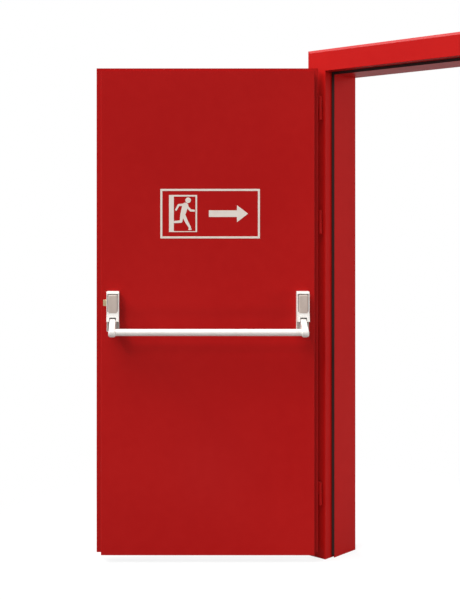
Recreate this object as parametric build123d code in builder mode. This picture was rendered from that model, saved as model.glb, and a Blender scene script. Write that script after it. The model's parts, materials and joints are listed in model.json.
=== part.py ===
"""A single-leaf steel fire door, standing open in its frame.

The frame is a block of folded sheet steel: two jambs and a head, each made of
a front pressing and a rear pressing, with a black seal in the groove between
them. The leaf is a rebated steel leaf with a mineral core, hung on three
weld-on barrel hinges, with a push bar across its push side.

X runs from the hinge jamb to the latch jamb, Y from the pull side to the push
side and Z up. The origin is at the foot of the hinge jamb, on its flat wall
side and half way through its depth. All lengths are in millimetres.
"""
from build123d import *
from math import cos, radians, sin
import os

os.makedirs("parts", exist_ok=True)

# Driving dimensions: leaf
BODY_WIDTH = 905.0          # the part of the leaf that goes into the frame
BODY_HEIGHT = 2050.0
BODY_DEPTH = 44.0
LIP_THICK = 20.0            # the lip that lies over the frame's face
LIP_SIDE = 21.0
LIP_TOP = 18.0
SKIN = 1.5
FOOT_GAP = 34.0             # frame foot to leaf: the foot stands in the floor build-up
CHANNEL_DEPTH = 30.0
OPEN_ANGLE = 136.1          # the leaf stands open by this much

# Driving dimensions: frame
FACE_WIDTH = 94.0
FRAME_DEPTH = 210.0
BEVEL_WIDTH = 11.0
BEVEL_DEPTH = 4.0
SHEET = 2.0
BEND = 2.6                  # outer radius of each fold
SIDE_GAP = 12.0             # leaf body to the rebate, both sides
HEAD_GAP = 8.0
REBATE_DEPTH = 50.0         # front face to the stop
GROOVE_WIDTH = 12.0
GROOVE_DEPTH = 28.0         # stop to the groove's floor
HEM = 8.0                   # the stop's edge is folded back by this much
HEM_ROUND = 1.5
LAP = 27.0                  # front pressing behind the reveal
WALL_FLANGE = 30.0          # front pressing along the wall
LIP_TO_FACE = 5.0           # leaf's lip to the frame's face, shut
WALL_HOLE_R = 5.5
WALL_HOLE_MIDDLE = 1100.0
WALL_HOLE_PITCH = 550.0
WALL_HOLE_COUNT = 4

# Driving dimensions: seal
SEAL_PROUD = 3.0
SEAL_DEPTH = 16.0
SEAL_FIT = 0.2
SEAL_SHORT = 10.0           # the jambs' seals end above the frame's foot

# Driving dimensions: hinges
UPPER_HINGE_DOWN = 151.0    # from the top of the leaf body
MIDDLE_HINGE_DOWN = 639.0
LOWER_HINGE_UP = 248.0      # from its foot
HINGE_LENGTH = 100.0
BARREL_R = 7.5
BARREL_CHAMFER = 1.5
AXIS_TO_LIP = 9.0
HINGE_PIN_R = 4.0
HINGE_PIN_LENGTH = 80.0
HINGE_COLLAR = 2.0
HINGE_COLLAR_R = 6.5
TAB_WIDTH = 8.0
PIN_FIT = 0.05
END_PLAY = 0.1

# Driving dimensions: push bar
BAR_HEIGHT = 987.0
BAR_OFF = 95.0              # middle of the bar from the push face
BAR_R = 14.5
BAR_WALL = 2.0
HINGE_EDGE_TO_ARM = 52.0    # from the leaf body's edge
LATCH_EDGE_TO_ARM = 52.0
ARM_RISE = 51.0             # pivot above the bar
ARM_NECK = 24.0             # width at the pivot
ARM_WIDTH = 30.0            # width at the bar
ARM_NECK_LENGTH = 34.0      # below the pivot
ARM_SIDE_ROOM = 2.0
ARM_SLOT_HEIGHT = 17.0
ARM_ROUND = 9.0
PIVOT_OFF = 22.0            # from the push face
PIVOT_R = 4.0
HUB_R = 9.0
BOSS_R = 20.0
CHEEK_R = 11.0
CHEEK_THICK = 3.0
CHEEK_PLAY = 1.0
HOUSING_WIDTH = 52.0
HOUSING_DEPTH = 18.0
HOUSING_BACK = 4.0
HOUSING_WALL = 2.5
HOUSING_ROUND = 4.0
HOUSING_BELOW_COVER = 44.0
COVER_BELOW_PIVOT = 11.0
COVER_HEIGHT = 126.0
COVER_WALL = 3.0
COVER_DEPTH = 38.0
COVER_NOSE = 52.0           # the cover is deepest at its foot
COVER_BEVEL = 8.0
SLOPE_HEIGHT = 37.0
PANEL_MARGIN = 4.0
PANEL_TOP_MARGIN = 1.5
PANEL_RECESS = 2.0

# Driving dimensions: latch bolt and its strike
BOLT_HEIGHT = 26.0
BOLT_THICK = 15.0
BOLT_OUT = 15.0             # proud of the housing
BOLT_LENGTH = 45.0
BOLT_BEVEL = 10.0
BOLT_ABOVE_PIVOT = 67.0
BOLT_FIT = 0.5
STRIKE_PLAY = 2.0
STRIKE_WALL = 8.0
STRIKE_PLATE = 3.0
STRIKE_REACH = 19.0
STRIKE_DEPTH = 46.0
STRIKE_HEIGHT = 90.0

# Places worked out from the driving dimensions
REBATE_WIDTH = BODY_WIDTH + 2 * SIDE_GAP
FRAME_WIDTH = REBATE_WIDTH + 2 * FACE_WIDTH
BODY_TOP = FOOT_GAP + BODY_HEIGHT
FRAME_HEIGHT = BODY_TOP + HEAD_GAP + FACE_WIDTH
FRONT = -FRAME_DEPTH / 2
BACK = FRAME_DEPTH / 2
STOP = FRONT + REBATE_DEPTH
REVEAL = FACE_WIDTH + GROOVE_WIDTH
AXIS_X = FACE_WIDTH + SIDE_GAP - LIP_SIDE - AXIS_TO_LIP
AXIS_Y = FRONT - LIP_TO_FACE - LIP_THICK / 2

# The leaf's own planes: U along the leaf from the hinge axis, V out of its push side
ALONG = Vector(cos(radians(OPEN_ANGLE)), -sin(radians(OPEN_ANGLE)), 0)
OUTWARD = Vector(sin(radians(OPEN_ANGLE)), cos(radians(OPEN_ANGLE)), 0)
AXIS = Vector(AXIS_X, AXIS_Y, 0)
LIP_FRONT = -LIP_THICK / 2
LIP_BACK = LIP_THICK / 2
PUSH_FACE = LIP_BACK + BODY_DEPTH
LIP_START = AXIS_TO_LIP
LIP_END = AXIS_TO_LIP + BODY_WIDTH + 2 * LIP_SIDE
BODY_START = LIP_START + LIP_SIDE
BODY_END = BODY_START + BODY_WIDTH
LIP_HEIGHT = BODY_HEIGHT + LIP_TOP
PIVOT_HEIGHT = BAR_HEIGHT + ARM_RISE
BOLT_LEVEL = PIVOT_HEIGHT + BOLT_ABOVE_PIVOT
COVER_FOOT = PIVOT_HEIGHT - COVER_BELOW_PIVOT
HOUSING_TOP = COVER_FOOT + COVER_HEIGHT
HOUSING_FOOT = COVER_FOOT - HOUSING_BELOW_COVER
HINGE_HEIGHTS = {
    "upper": BODY_TOP - UPPER_HINGE_DOWN,
    "middle": BODY_TOP - MIDDLE_HINGE_DOWN,
    "lower": FOOT_GAP + LOWER_HINGE_UP,
}
ARMS = {"hinge_side": BODY_START + HINGE_EDGE_TO_ARM, "latch_side": BODY_END - LATCH_EDGE_TO_ARM}


def level_plane(height):
    """A level plane on the leaf: local x along the leaf, local y out of the push side."""
    return Plane(origin=AXIS + Vector(0, 0, height), x_dir=ALONG, z_dir=(0, 0, 1))


def side_plane(along):
    """An upright plane across the leaf: local x off the push face, local y up."""
    return Plane(origin=AXIS + ALONG * along + OUTWARD * PUSH_FACE, x_dir=OUTWARD, z_dir=ALONG)


def face_plane(off):
    """An upright plane parallel to the leaf, off its push face: local x along it, local y down."""
    return Plane(origin=AXIS + OUTWARD * (PUSH_FACE + off), x_dir=ALONG, z_dir=OUTWARD)


# Frame: the two pressings' sections, from the wall side (0) inwards and from front to back
FRONT_PATH = [
    (0, FRONT + BEVEL_DEPTH + WALL_FLANGE),
    (0, FRONT + BEVEL_DEPTH),
    (BEVEL_WIDTH, FRONT),
    (FACE_WIDTH, FRONT),
    (FACE_WIDTH, STOP + GROOVE_DEPTH),
    (REVEAL - SHEET, STOP + GROOVE_DEPTH),
    (REVEAL - SHEET, STOP + GROOVE_DEPTH + LAP),
]
REAR_PATH = [
    (REVEAL - 2 * SHEET, STOP + HEM),
    (REVEAL - 2 * SHEET, STOP),
    (REVEAL, STOP),
    (REVEAL, BACK),
    (BEVEL_WIDTH, BACK),
    (0, BACK - BEVEL_DEPTH),
    (0, FRONT + BEVEL_DEPTH + WALL_FLANGE),
]
REAR_FOLDS = [
    ((REVEAL - 2 * SHEET, STOP), HEM_ROUND),
    ((REVEAL, STOP), HEM_ROUND),
    ((REVEAL, BACK), BEND),
    ((BEVEL_WIDTH, BACK), BEND),
    ((0, BACK - BEVEL_DEPTH), BEND),
]
MEMBERS = {
    "hinge_jamb": (Plane.XY, FRAME_HEIGHT),
    "latch_jamb": (Plane(origin=(FRAME_WIDTH, 0, 0), x_dir=(-1, 0, 0), z_dir=(0, 0, -1)), -FRAME_HEIGHT),
    "head": (Plane(origin=(0, 0, FRAME_HEIGHT), x_dir=(0, 0, -1), z_dir=(1, 0, 0)), FRAME_WIDTH),
}
HINGE_MITRE = Plane(origin=(0, 0, FRAME_HEIGHT), z_dir=(1, 0, 1))
LATCH_MITRE = Plane(origin=(FRAME_WIDTH, 0, FRAME_HEIGHT), z_dir=(-1, 0, 1))


def mitre(member):
    """Cut a member's end, or the head's two ends, along the frame's corner lines."""
    if member != "latch_jamb":
        split(bisect_by=HINGE_MITRE, keep=Keep.TOP if member == "head" else Keep.BOTTOM)
    if member != "hinge_jamb":
        split(bisect_by=LATCH_MITRE, keep=Keep.TOP if member == "head" else Keep.BOTTOM)


def save(part, name):
    part.label = name
    export_step(part, f"parts/{name}.step")


for member, (plane, length) in MEMBERS.items():
    with BuildPart() as front_pressing:
        with BuildSketch(plane):
            with BuildLine():
                FilletPolyline(*FRONT_PATH, radius=BEND)
                offset(amount=SHEET, side=Side.LEFT)
            make_face()
        extrude(amount=length)
        mitre(member)
    save(front_pressing.part, f"{member}_front")

    with BuildPart() as rear_pressing:
        with BuildSketch(plane) as rear_section:
            with BuildLine():
                Polyline(*REAR_PATH)
                offset(amount=SHEET, side=Side.LEFT)
            make_face()
            for corner, radius in REAR_FOLDS:
                fillet(rear_section.vertices().sort_by_distance(corner)[0], radius)
        extrude(amount=length)
        mitre(member)
        if member != "head":
            hole_middle = plane.origin + Vector(0, 0, WALL_HOLE_MIDDLE)
            with Locations(Plane(origin=hole_middle, x_dir=(0, 0, 1), z_dir=-plane.x_dir)):
                with GridLocations(WALL_HOLE_PITCH, 0, WALL_HOLE_COUNT, 1):
                    Hole(WALL_HOLE_R, depth=2 * SHEET)
    save(rear_pressing.part, f"{member}_rear")

# Seal: a rubber strip in the groove, with a lip that lies over the stop's edge
SEAL_PATH = [
    (FACE_WIDTH + SEAL_FIT, STOP - SEAL_PROUD),
    (REVEAL, STOP - SEAL_PROUD),
    (REVEAL, STOP - SEAL_FIT),
    (REVEAL - 2 * SHEET - SEAL_FIT, STOP - SEAL_FIT),
    (REVEAL - 2 * SHEET - SEAL_FIT, STOP + SEAL_DEPTH),
    (FACE_WIDTH + SEAL_FIT, STOP + SEAL_DEPTH),
]
for member, (plane, length) in MEMBERS.items():
    with BuildPart() as seal:
        with BuildSketch(plane):
            with BuildLine():
                Polyline(*SEAL_PATH, close=True)
            make_face()
        extrude(amount=length)
        mitre(member)
        if member != "head":
            split(bisect_by=Plane.XY.offset(SEAL_SHORT), keep=Keep.TOP)
    save(seal.part, f"{member}_seal")

# Strike: an angle on the latch jamb's reveal, whose wall stands in the bolt's way
BOLT_NEAR = HOUSING_DEPTH + BOLT_FIT
STRIKE_FACE = AXIS_Y + PUSH_FACE + BOLT_NEAR - STRIKE_PLAY
REVEAL_X = FRAME_WIDTH - REVEAL
with BuildPart() as strike:
    with BuildSketch(Plane.XY.offset(BOLT_LEVEL - STRIKE_HEIGHT / 2)):
        with BuildLine():
            Polyline(
                (REVEAL_X, STRIKE_FACE - STRIKE_WALL),
                (REVEAL_X, STRIKE_FACE - STRIKE_WALL + STRIKE_DEPTH),
                (REVEAL_X - STRIKE_PLATE, STRIKE_FACE - STRIKE_WALL + STRIKE_DEPTH),
                (REVEAL_X - STRIKE_PLATE, STRIKE_FACE),
                (REVEAL_X - STRIKE_REACH, STRIKE_FACE),
                (REVEAL_X - STRIKE_REACH, STRIKE_FACE - STRIKE_WALL),
                close=True,
            )
        make_face()
    extrude(amount=STRIKE_HEIGHT)
    nose = strike.edges().filter_by(Axis.Z).group_by(Axis.X)[0]
    fillet(nose, STRIKE_WALL / 4)
save(strike.part, "latch_strike")

# Hinges: a lower barrel welded to the frame, an upper one to the leaf, and the pin between them
HALF_BARREL = (HINGE_LENGTH - HINGE_COLLAR) / 2
for name, height in HINGE_HEIGHTS.items():
    frame_plane = Plane(origin=(AXIS_X, AXIS_Y, height))
    with BuildPart() as frame_barrel:
        with BuildSketch(frame_plane.offset(-HINGE_LENGTH / 2)):
            Circle(BARREL_R)
            with Locations((0, (FRONT - AXIS_Y) / 2)):
                Rectangle(TAB_WIDTH, FRONT - AXIS_Y)
        extrude(amount=HALF_BARREL)
        rim = frame_barrel.edges().filter_by(GeomType.CIRCLE).sort_by(Axis.Z)[0]
        chamfer(rim, BARREL_CHAMFER)
        with Locations(frame_plane.offset(-HINGE_COLLAR / 2)):
            Hole(HINGE_PIN_R, depth=(HINGE_PIN_LENGTH - HINGE_COLLAR) / 2)
    save(frame_barrel.part, f"{name}_hinge_frame_barrel")

    with BuildPart() as leaf_barrel:
        with BuildSketch(level_plane(height + HINGE_COLLAR / 2 + END_PLAY)):
            Circle(BARREL_R)
            with Locations((LIP_START / 2, 0)):
                Rectangle(LIP_START, TAB_WIDTH)
        extrude(amount=HALF_BARREL)
        rim = leaf_barrel.edges().filter_by(GeomType.CIRCLE).sort_by(Axis.Z)[-1]
        chamfer(rim, BARREL_CHAMFER)
        with Locations(Plane(origin=level_plane(height).origin, z_dir=(0, 0, -1)).offset(-HINGE_COLLAR / 2)):
            Hole(HINGE_PIN_R + PIN_FIT, depth=HINGE_PIN_LENGTH / 2 + END_PLAY)
    save(leaf_barrel.part, f"{name}_hinge_leaf_barrel")

    with BuildPart() as pin:
        with BuildSketch(frame_plane.offset(-HINGE_PIN_LENGTH / 2)):
            Circle(HINGE_PIN_R)
        extrude(amount=HINGE_PIN_LENGTH)
        with BuildSketch(frame_plane.offset(-HINGE_COLLAR / 2)):
            Circle(HINGE_COLLAR_R)
        extrude(amount=HINGE_COLLAR)
    save(pin.part, f"{name}_hinge_pin")

# Leaf: a pull skin whose edges fold into the lip, a push skin that stands on it, core and foot rail
with BuildPart() as pull_skin:
    with BuildSketch(level_plane(FOOT_GAP)):
        with Locations(((LIP_START + LIP_END) / 2, 0)):
            RectangleRounded(LIP_END - LIP_START, LIP_THICK, BEND)
    extrude(amount=LIP_HEIGHT)
    with BuildSketch(level_plane(FOOT_GAP)):
        with Locations(((LIP_START + LIP_END) / 2, 0)):
            RectangleRounded(LIP_END - LIP_START - 2 * SKIN, LIP_THICK - 2 * SKIN, BEND - SKIN)
    extrude(amount=LIP_HEIGHT - SKIN, mode=Mode.SUBTRACT)
    with BuildSketch(level_plane(FOOT_GAP)):
        with Locations(((BODY_START + BODY_END) / 2, LIP_BACK - SKIN / 2)):
            Rectangle(BODY_WIDTH, SKIN)
    extrude(amount=BODY_HEIGHT, mode=Mode.SUBTRACT)
save(pull_skin.part, "leaf_pull_skin")

with BuildPart() as push_skin:
    with BuildSketch(level_plane(FOOT_GAP)) as body_section:
        with Locations(((BODY_START + BODY_END) / 2, LIP_BACK + BODY_DEPTH / 2)):
            Rectangle(BODY_WIDTH, BODY_DEPTH)
        fillet(body_section.vertices().group_by(Axis.Y)[-1], BEND)
    extrude(amount=BODY_HEIGHT)
    with BuildSketch(level_plane(FOOT_GAP)):
        with Locations(((BODY_START + BODY_END) / 2, LIP_BACK + (BODY_DEPTH - SKIN) / 2)):
            Rectangle(BODY_WIDTH - 2 * SKIN, BODY_DEPTH - SKIN)
    extrude(amount=BODY_HEIGHT - SKIN, mode=Mode.SUBTRACT)
save(push_skin.part, "leaf_push_skin")

CORE_WIDTH = BODY_WIDTH - 2 * SKIN
CORE_DEPTH = LIP_THICK + BODY_DEPTH - 2 * SKIN
CORE_MIDDLE = ((BODY_START + BODY_END) / 2, (LIP_FRONT + PUSH_FACE) / 2)
with BuildPart() as core:
    with BuildSketch(level_plane(FOOT_GAP + SKIN)):
        with Locations(CORE_MIDDLE):
            Rectangle(CORE_WIDTH, CORE_DEPTH - 2 * SKIN)
    extrude(amount=CHANNEL_DEPTH)
    with BuildSketch(level_plane(FOOT_GAP + CHANNEL_DEPTH)):
        with Locations(CORE_MIDDLE):
            Rectangle(CORE_WIDTH, CORE_DEPTH)
    extrude(amount=BODY_HEIGHT - CHANNEL_DEPTH - SKIN)
save(core.part, "leaf_core")

with BuildPart() as foot_rail:
    with BuildSketch(level_plane(FOOT_GAP)):
        with Locations(CORE_MIDDLE):
            Rectangle(CORE_WIDTH, CORE_DEPTH)
    extrude(amount=CHANNEL_DEPTH)
    with BuildSketch(level_plane(FOOT_GAP + SKIN)):
        with Locations(CORE_MIDDLE):
            Rectangle(CORE_WIDTH, CORE_DEPTH - 2 * SKIN)
    extrude(amount=CHANNEL_DEPTH, mode=Mode.SUBTRACT)
save(foot_rail.part, "leaf_foot_rail")

# Push bar: two housings on the leaf, an arm pivoted in each, and the bar between the arms
HUB_GAP = ARM_NECK / 2 + CHEEK_PLAY
PIVOT = (PIVOT_OFF, PIVOT_HEIGHT)
BAR_CENTRE = (BAR_OFF, BAR_HEIGHT)
COVER_SECTION = [
    (HOUSING_DEPTH, HOUSING_TOP),
    (COVER_DEPTH - COVER_BEVEL, HOUSING_TOP),
    (COVER_DEPTH, HOUSING_TOP - COVER_BEVEL),
    (COVER_DEPTH, COVER_FOOT + SLOPE_HEIGHT),
    (COVER_NOSE, COVER_FOOT),
    (HOUSING_DEPTH, COVER_FOOT),
]
PANEL_HEIGHT = HOUSING_TOP - COVER_BEVEL - PANEL_TOP_MARGIN - COVER_FOOT - SLOPE_HEIGHT - PANEL_MARGIN
PANEL_MIDDLE = COVER_FOOT + SLOPE_HEIGHT + PANEL_MARGIN + PANEL_HEIGHT / 2
ARM_TOP = PIVOT_HEIGHT + HUB_R
ARM_FOOT = BAR_HEIGHT - BOSS_R

for side, middle in ARMS.items():
    with BuildPart() as housing:
        with BuildSketch(face_plane(0)):
            with Locations((middle, -(HOUSING_TOP + HOUSING_FOOT) / 2)):
                RectangleRounded(HOUSING_WIDTH, HOUSING_TOP - HOUSING_FOOT, HOUSING_ROUND)
        extrude(amount=HOUSING_DEPTH)
        with BuildSketch(face_plane(HOUSING_BACK)):
            with Locations((middle, -(HOUSING_TOP + HOUSING_FOOT) / 2)):
                RectangleRounded(
                    HOUSING_WIDTH - 2 * HOUSING_WALL,
                    HOUSING_TOP - HOUSING_FOOT - 2 * HOUSING_WALL,
                    HOUSING_ROUND - HOUSING_WALL,
                )
        extrude(amount=HOUSING_DEPTH, mode=Mode.SUBTRACT)
        for cheek in (-1, 1):
            with BuildSketch(side_plane(middle + cheek * (HUB_GAP + CHEEK_THICK / 2))):
                with Locations(PIVOT):
                    Circle(CHEEK_R)
                with Locations(((HOUSING_BACK + PIVOT_OFF) / 2, PIVOT_HEIGHT)):
                    Rectangle(PIVOT_OFF - HOUSING_BACK, 2 * CHEEK_R)
                with Locations(PIVOT):
                    Circle(PIVOT_R, mode=Mode.SUBTRACT)
            extrude(amount=CHEEK_THICK / 2, both=True)
    save(housing.part, f"{side}_housing")

    with BuildPart() as cover:
        with BuildSketch(side_plane(middle)):
            with BuildLine():
                Polyline(*COVER_SECTION, close=True)
            make_face()
        extrude(amount=HOUSING_WIDTH / 2, both=True)
        back = cover.faces().sort_by(Axis(tuple(AXIS), tuple(OUTWARD)))[0]
        foot = cover.faces().sort_by(Axis.Z)[0]
        offset(amount=-COVER_WALL, openings=[back, foot])
        with BuildSketch(face_plane(COVER_DEPTH)):
            with Locations((middle, -PANEL_MIDDLE)):
                Rectangle(HOUSING_WIDTH - 2 * PANEL_MARGIN, PANEL_HEIGHT)
        extrude(amount=-PANEL_RECESS, mode=Mode.SUBTRACT)
        with BuildSketch(face_plane(COVER_DEPTH - COVER_WALL)):
            with Locations((middle, -(COVER_FOOT + ARM_SLOT_HEIGHT / 2))):
                Rectangle(ARM_NECK + 2 * ARM_SIDE_ROOM, ARM_SLOT_HEIGHT)
        extrude(amount=COVER_NOSE, mode=Mode.SUBTRACT)
        if side == "latch_side":
            with BuildSketch(side_plane(middle + HOUSING_WIDTH / 2)):
                with Locations((BOLT_NEAR + BOLT_THICK / 2, BOLT_LEVEL)):
                    Rectangle(BOLT_THICK + 2 * BOLT_FIT, BOLT_HEIGHT + 2 * BOLT_FIT)
            extrude(amount=-COVER_WALL, mode=Mode.SUBTRACT)
    save(cover.part, f"{side}_cover")

    with BuildPart() as pivot_pin:
        with BuildSketch(side_plane(middle)):
            with Locations(PIVOT):
                Circle(PIVOT_R)
        extrude(amount=HUB_GAP + CHEEK_THICK, both=True)
    save(pivot_pin.part, f"{side}_pivot_pin")

    inward = 1 if side == "hinge_side" else -1
    with BuildPart() as arm:
        with BuildSketch(side_plane(middle)):
            with Locations(PIVOT):
                Circle(HUB_R)
            with Locations(BAR_CENTRE):
                Circle(BOSS_R)
            make_hull()
        extrude(amount=ARM_WIDTH / 2, both=True)
        with BuildSketch(face_plane(0)) as arm_front:
            with BuildLine():
                Polyline(
                    (middle - ARM_NECK / 2, -ARM_TOP),
                    (middle + ARM_NECK / 2, -ARM_TOP),
                    (middle + ARM_NECK / 2, ARM_NECK_LENGTH - PIVOT_HEIGHT),
                    (middle + ARM_WIDTH / 2, -BAR_HEIGHT),
                    (middle + ARM_WIDTH / 2, -ARM_FOOT),
                    (middle - ARM_WIDTH / 2, -ARM_FOOT),
                    (middle - ARM_WIDTH / 2, -BAR_HEIGHT),
                    (middle - ARM_NECK / 2, ARM_NECK_LENGTH - PIVOT_HEIGHT),
                    close=True,
                )
            make_face()
            fillet(arm_front.vertices().group_by(Axis.Y)[-1], ARM_ROUND)
        extrude(amount=BAR_OFF + BOSS_R, mode=Mode.INTERSECT)
        with BuildSketch(side_plane(middle)):
            with Locations(PIVOT):
                Circle(PIVOT_R + PIN_FIT)
        extrude(amount=ARM_WIDTH, both=True, mode=Mode.SUBTRACT)
        with BuildSketch(side_plane(middle)):
            with Locations(BAR_CENTRE):
                Circle(BAR_R + PIN_FIT)
        extrude(amount=inward * ARM_WIDTH, mode=Mode.SUBTRACT)
    save(arm.part, f"{side}_arm")

with BuildPart() as bar:
    with BuildSketch(side_plane(ARMS["hinge_side"])):
        with Locations(BAR_CENTRE):
            Circle(BAR_R)
            Circle(BAR_R - BAR_WALL, mode=Mode.SUBTRACT)
    extrude(amount=ARMS["latch_side"] - ARMS["hinge_side"])
save(bar.part, "push_bar")

# Latch bolt: a bevelled brass bolt that slides out of the latch-side housing
BOLT_NOSE = ARMS["latch_side"] + HOUSING_WIDTH / 2 + BOLT_OUT
with BuildPart() as bolt:
    with BuildSketch(level_plane(BOLT_LEVEL - BOLT_HEIGHT / 2)):
        with BuildLine():
            Polyline(
                (BOLT_NOSE - BOLT_LENGTH, PUSH_FACE + BOLT_NEAR),
                (BOLT_NOSE, PUSH_FACE + BOLT_NEAR),
                (BOLT_NOSE, PUSH_FACE + BOLT_NEAR + BOLT_THICK - BOLT_BEVEL),
                (BOLT_NOSE - BOLT_BEVEL, PUSH_FACE + BOLT_NEAR + BOLT_THICK),
                (BOLT_NOSE - BOLT_LENGTH, PUSH_FACE + BOLT_NEAR + BOLT_THICK),
                close=True,
            )
        make_face()
    extrude(amount=BOLT_HEIGHT)
save(bolt.part, "latch_bolt")
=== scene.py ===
# %% [markdown]
# # A red steel fire door, standing open in its frame
#
# The CAD model gives every solid its place. Blender gives the door what CAD leaves out: paint, brass,
# rubber, the film of the sign, welds, screws and soft edges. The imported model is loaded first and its
# shapes stay as they are. The new pieces take their places from its nodes, and only the sign is placed
# by the photograph.

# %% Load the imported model
import json
from math import cos, pi, radians, sin

import bmesh
import bpy
import numpy as np
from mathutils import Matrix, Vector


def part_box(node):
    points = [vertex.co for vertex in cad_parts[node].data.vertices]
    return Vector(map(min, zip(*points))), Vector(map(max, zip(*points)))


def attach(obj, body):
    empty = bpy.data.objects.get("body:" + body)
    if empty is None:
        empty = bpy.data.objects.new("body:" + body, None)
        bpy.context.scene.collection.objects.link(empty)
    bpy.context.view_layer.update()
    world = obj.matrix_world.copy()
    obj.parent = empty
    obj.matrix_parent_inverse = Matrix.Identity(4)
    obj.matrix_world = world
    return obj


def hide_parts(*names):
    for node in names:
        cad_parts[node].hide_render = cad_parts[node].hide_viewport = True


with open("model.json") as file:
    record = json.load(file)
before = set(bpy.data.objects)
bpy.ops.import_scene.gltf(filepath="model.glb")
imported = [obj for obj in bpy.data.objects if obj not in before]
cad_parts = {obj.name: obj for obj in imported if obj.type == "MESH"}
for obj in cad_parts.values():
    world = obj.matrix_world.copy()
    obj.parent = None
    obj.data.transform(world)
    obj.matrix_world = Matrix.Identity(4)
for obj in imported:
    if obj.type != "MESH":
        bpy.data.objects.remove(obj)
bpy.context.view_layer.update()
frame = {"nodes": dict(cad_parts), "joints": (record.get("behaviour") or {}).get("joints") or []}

nodes = frame["nodes"]
joints = {joint["name"]: joint for joint in frame["joints"]}

# %% [markdown]
# ## The leaf's own directions
#
# The leaf stands open at an angle, so its pieces would be awkward to place in X and Y. A point on it is
# easier to give as three lengths: along the leaf from the hinge pins, out of its push side, and up. The
# hinge joint gives the place of the pins and the bolt's slide gives the direction along the leaf.

# %% Directions on the leaf
PINS = np.array(joints["leaf_hinge"]["pos_m"]) * (1, 1, 0)
ALONG = np.array(joints["latch_slide"]["axis"])
OUT = np.array((-ALONG[1], ALONG[0], 0.0))
UP = np.array((0.0, 0.0, 1.0))
LEAF_AXES = np.array((ALONG, OUT, UP))


def from_leaf(points):
    """Row-frame points: the pins' place plus each length times its own direction."""
    return PINS + np.asarray(points, float) @ LEAF_AXES


def to_leaf(points):
    """Lengths along, out and up: what separates a point from the pins, measured on each direction."""
    return (points - PINS) @ LEAF_AXES.T


print("along the leaf is", ALONG.round(3), "and out of it is", OUT.round(3))

# %% [markdown]
# ## Sizes read from the CAD nodes
#
# A new piece has to fit its neighbours to a fraction of a millimetre. The sizes of the CAD model could be
# written down again here, but a later change to it would then leave the new pieces behind. So they are
# read from its meshes wherever a mesh gives them: the room that a node takes is the lowest and highest of
# its corners.


# %% The room that a node takes
def mesh_points(mesh):
    """A mesh's corners as an array with one row for each."""
    flat = np.zeros(len(mesh.vertices) * 3)
    mesh.vertices.foreach_get("co", flat)
    return flat.reshape(-1, 3)


def leaf_box(node):
    """Lowest and highest of a node's lengths along, out and up."""
    lengths = to_leaf(mesh_points(nodes[node].data))
    return lengths.min(0), lengths.max(0)


skin_low, skin_high = leaf_box("leaf_push_skin")
PUSH_FACE = skin_high[1]
print("leaf body from", skin_low.round(4), "to", skin_high.round(4))

# %% [markdown]
# ## The camera
#
# The photograph looks level and square at the open leaf, from a place a little to the hinge side of its
# middle. The horizon lies above the picture's middle and the point straight ahead to the left of it. A
# camera that was tilted and turned to match would make the door's edges lean together, so the lens is
# shifted instead, as on a view camera.

# %% Camera at the photograph's place
IMAGE = (460, 600)
FOCAL = 1102.76                             # in pixels, from the run of the frame's edges
HORIZON = 220.19                            # its row in the picture
AHEAD = 165.0                               # the column straight ahead of the camera
SENSOR = 36.0                               # the film in millimetres, along the picture's longer side
CAMERA_PLACE = (0.66331, 4.72396, 1.45301)  # along the leaf, out from it and up
SIGHT = 100.0                               # nothing further off is drawn

camera = bpy.data.objects.new("camera", bpy.data.cameras.new("camera"))
camera.data.sensor_width = SENSOR
camera.data.lens = SENSOR * FOCAL / IMAGE[1]
camera.data.shift_x = (IMAGE[0] / 2 - AHEAD) / IMAGE[1]
camera.data.shift_y = -(IMAGE[1] / 2 - HORIZON) / IMAGE[1]
camera.data.clip_end = SIGHT
camera.location = from_leaf(CAMERA_PLACE)
camera.rotation_euler = (pi / 2, 0, np.arctan2(OUT[0], -OUT[1]))
bpy.context.scene.collection.objects.link(camera)
bpy.context.scene.camera = camera
print("lens", round(camera.data.lens, 2), "mm at", np.round(camera.location, 3))

# %% [markdown]
# ## Shader nodes as formulas
#
# A material is a tree of nodes. It could be drawn by hand in the shader editor, but a tree is hard to read
# once it holds sums. Two small classes help. A Wire is the output of a node, and arithmetic on it adds the
# Math node that does the sum, so a mask reads as a formula. A Finish is the tree of one material or of the
# world, and one method makes every node in it.


# %% A wire between two nodes
class Wire:
    """One output of a node. Arithmetic on it adds a Math node, so that a mask is written as a formula."""

    def __init__(self, finish, socket):
        self.finish, self.socket = finish, socket

    def maths(self, operation, *values):
        """A Math node that does one sum on its values, each a wire or a number."""
        return self.finish.node("Math", {"operation": operation}, dict(enumerate(values)))

    def __add__(self, other):
        return self.maths("ADD", self, other)

    def __sub__(self, other):
        return self.maths("SUBTRACT", self, other)

    def __rsub__(self, other):
        return self.maths("SUBTRACT", other, self)

    def __mul__(self, other):
        return self.maths("MULTIPLY", self, other)

    __radd__ = __add__
    __rmul__ = __mul__

    def rise(self, low, high):
        """Nought below low, one above high and a smooth step between."""
        limits = {"Value": self, "From Min": low, "From Max": high}
        return self.finish.node("MapRange", {"interpolation_type": "SMOOTHSTEP"}, limits)


print("a Wire takes + - and * on either side, and rise")


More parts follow.
